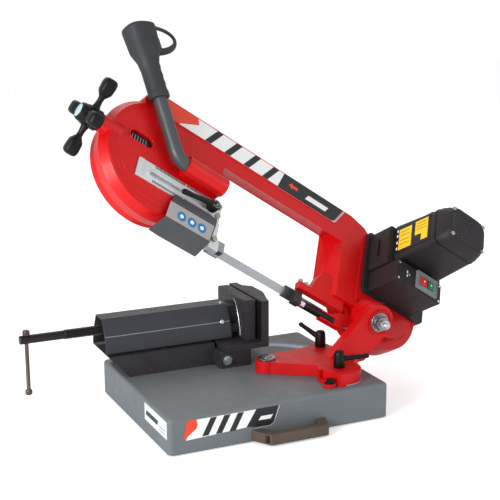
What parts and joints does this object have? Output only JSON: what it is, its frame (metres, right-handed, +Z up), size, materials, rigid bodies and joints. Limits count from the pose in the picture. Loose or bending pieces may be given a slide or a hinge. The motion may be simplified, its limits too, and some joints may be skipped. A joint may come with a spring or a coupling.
{
  "type": "band saw",
  "caption": "Bench band saw: pivoting saw bow with tilted band wheels, motor and hand grip over a screw vise on a swivelling mount and folded steel base.",
  "frame": {"origin": "on the supporting surface, under the middle of the base's footprint", "axes": "+X along the base's length towards the bow's pivot, +Y from the operator's side towards the rear, +Z up"},
  "size_m": [0.7569, 0.351, 0.6173],
  "materials": {
    "base_paint": "satin structured grey powder coat",
    "red_casting": "glossy red powder coat on die casting",
    "cast_black": "textured black enamel",
    "black_plate": "blackened steel",
    "cover_slate": "smooth slate grey paint",
    "zinc": "bright zinc plate",
    "steel": "ground steel",
    "blade_steel": "rolled spring steel",
    "black_plastic": "fine grained black plastic",
    "grip_plastic": "soft grey grip plastic",
    "brown_plastic": "satin brown black plastic",
    "alloy": "silver anodised",
    "guard_steel": "satin grey sheet",
    "red_button": "gloss",
    "green_button": "gloss",
    "clear_frame": "clear plastic frame",
    "rubber": "matt black rubber",
    "copper": "lacquered winding"
  },
  "bodies": {
    "base": {"base_tray": "base_paint", "base_strip": "rubber", "carry_handle": "brown_plastic", "vise_bed": "cast_black", "fixed_jaw_plate": "black_plate", "vise_screws": "zinc", "vise_nut": "cast_black", "swivel_pin": "zinc"},
    "jaw": {"moving_jaw": "cast_black", "moving_jaw_plate": "black_plate", "screw_cover": "cover_slate"},
    "screw": {"vise_screw": "black_plate"},
    "tee_bar": {"tee_bar": "black_plate"},
    "swivel": {"swivel_arm": "red_casting", "stop_screw": "black_plate", "return_spring": "steel"},
    "front_lever": {"front_clamp_lever": "black_plastic"},
    "rear_lever": {"rear_clamp_lever": "black_plastic"},
    "bow": {"bow_frame": "red_casting", "rear_cover": "red_casting", "cover_screws": "zinc", "gear_housing": "black_plastic", "motor_housing": "black_plastic", "motor_end_cap": "black_plastic", "motor_stator": "copper", "motor_screws": "zinc", "control_box": "black_plastic", "switch_plate": "clear_frame", "fixed_guide_block": "black_plate", "fixed_guide_bar": "black_plate", "fixed_guide_bolts": "zinc", "handle_tube": "grip_plastic", "handle_grip": "grip_plastic", "handle_screws": "zinc", "drive_bearings": "steel", "saw_blade": "blade_steel", "pivot_shaft": "steel", "pivot_nut": "zinc"},
    "carriage": {"tension_carriage": "steel", "tension_spring": "steel"},
    "knob": {"tension_knob": "black_plastic", "tension_screw": "steel"},
    "tension_wheel": {"tension_wheel": "alloy"},
    "drive": {"drive_wheel": "alloy", "drive_shaft": "steel", "drive_gear": "steel"},
    "rotor": {"motor_rotor": "steel", "motor_pinion": "steel"},
    "guide": {"guide_arm": "alloy", "guide_bracket": "alloy", "moving_guide_block": "black_plate", "blade_guard": "guard_steel", "guide_bolts": "zinc"},
    "guide_lever": {"guide_lock_lever": "black_plastic"},
    "trigger": {"trigger": "grip_plastic"},
    "stop_button": {"stop_button": "red_button"},
    "start_button": {"start_button": "green_button"}
  },
  "joints": [
    {"name": "jaw_slide", "type": "slide", "parent": "base", "child": "jaw", "axis": [-1, 0, 0], "range_m": [0, 0.11]},
    {"name": "screw_turn", "type": "hinge", "parent": "jaw", "child": "screw", "pos_m": [0, 0.092, 0.13], "axis": [1, 0, 0], "continuous": true},
    {"name": "tee_bar_slide", "type": "slide", "parent": "screw", "child": "tee_bar", "axis": [0, 0, 1], "range_m": [0, 0.07]},
    {"name": "swivel_turn", "type": "hinge", "parent": "base", "child": "swivel", "pos_m": [0.038, -0.018, 0.06], "axis": [0, 0, 1], "range_deg": [0, 30]},
    {"name": "front_lever_turn", "type": "hinge", "parent": "swivel", "child": "front_lever", "pos_m": [0.124, -0.105, 0.078], "axis": [0, 0, 1], "range_deg": [-60, 30]},
    {"name": "rear_lever_turn", "type": "hinge", "parent": "swivel", "child": "rear_lever", "pos_m": [0.149, 0.004, 0.078], "axis": [0, 0, 1], "range_deg": [-15, 45]},
    {"name": "bow_hinge", "type": "hinge", "parent": "swivel", "child": "bow", "pos_m": [0.222, -0.018, 0.129], "axis": [0, 1, 0], "range_deg": [-33, 0], "stiffness_Nm_per_rad": 20, "springref_deg": 68.75},
    {"name": "tension_slide", "type": "slide", "parent": "bow", "child": "carriage", "axis": [0.8387, 0, -0.5446], "range_m": [0, 0.006]},
    {"name": "tension_turn", "type": "hinge", "parent": "bow", "child": "knob", "pos_m": [-0.22117, 0.02277, 0.47478], "axis": [-0.8387, 0, 0.5446], "continuous": true},
    {"name": "tension_wheel_turn", "type": "hinge", "parent": "carriage", "child": "tension_wheel", "pos_m": [-0.13481, 0.02785, 0.39661], "axis": [0.3201, -0.809, 0.493], "continuous": true},
    {"name": "drive_wheel_turn", "type": "hinge", "parent": "bow", "child": "drive", "pos_m": [0.26356, 0.02785, 0.13791], "axis": [0.3201, -0.809, 0.493], "continuous": true},
    {"name": "rotor_turn", "type": "hinge", "parent": "bow", "child": "rotor", "pos_m": [0.34556, -0.00874, 0.22746], "axis": [0.3201, -0.809, 0.493], "continuous": true},
    {"name": "guide_slide", "type": "slide", "parent": "bow", "child": "guide", "axis": [0.8387, 0, -0.5446], "range_m": [0, 0.11]},
    {"name": "guide_lever_turn", "type": "hinge", "parent": "bow", "child": "guide_lever", "pos_m": [-0.05456, -0.01406, 0.33658], "axis": [0.3201, -0.809, 0.493], "range_deg": [-15, 60]},
    {"name": "trigger_press", "type": "slide", "parent": "bow", "child": "trigger", "axis": [-0.9428, -0.3233, 0.0816], "range_m": [0, 0.004], "stiffness_N_per_m": 900},
    {"name": "stop_press", "type": "slide", "parent": "bow", "child": "stop_button", "axis": [-0.3201, 0.809, -0.493], "range_m": [0, 0.0025], "stiffness_N_per_m": 800},
    {"name": "start_press", "type": "slide", "parent": "bow", "child": "start_button", "axis": [-0.3201, 0.809, -0.493], "range_m": [0, 0.0025], "stiffness_N_per_m": 800}
  ],
  "couplings": [
    {"joint": "rotor_turn", "follows": "drive_wheel_turn", "ratio": -4.2},
    {"joint": "tension_wheel_turn", "follows": "drive_wheel_turn", "ratio": 1},
    {"joint": "screw_turn", "follows": "jaw_slide", "rad_per_m": -1570.8},
    {"joint": "tension_turn", "follows": "tension_slide", "rad_per_m": 4188.8}
  ]
}
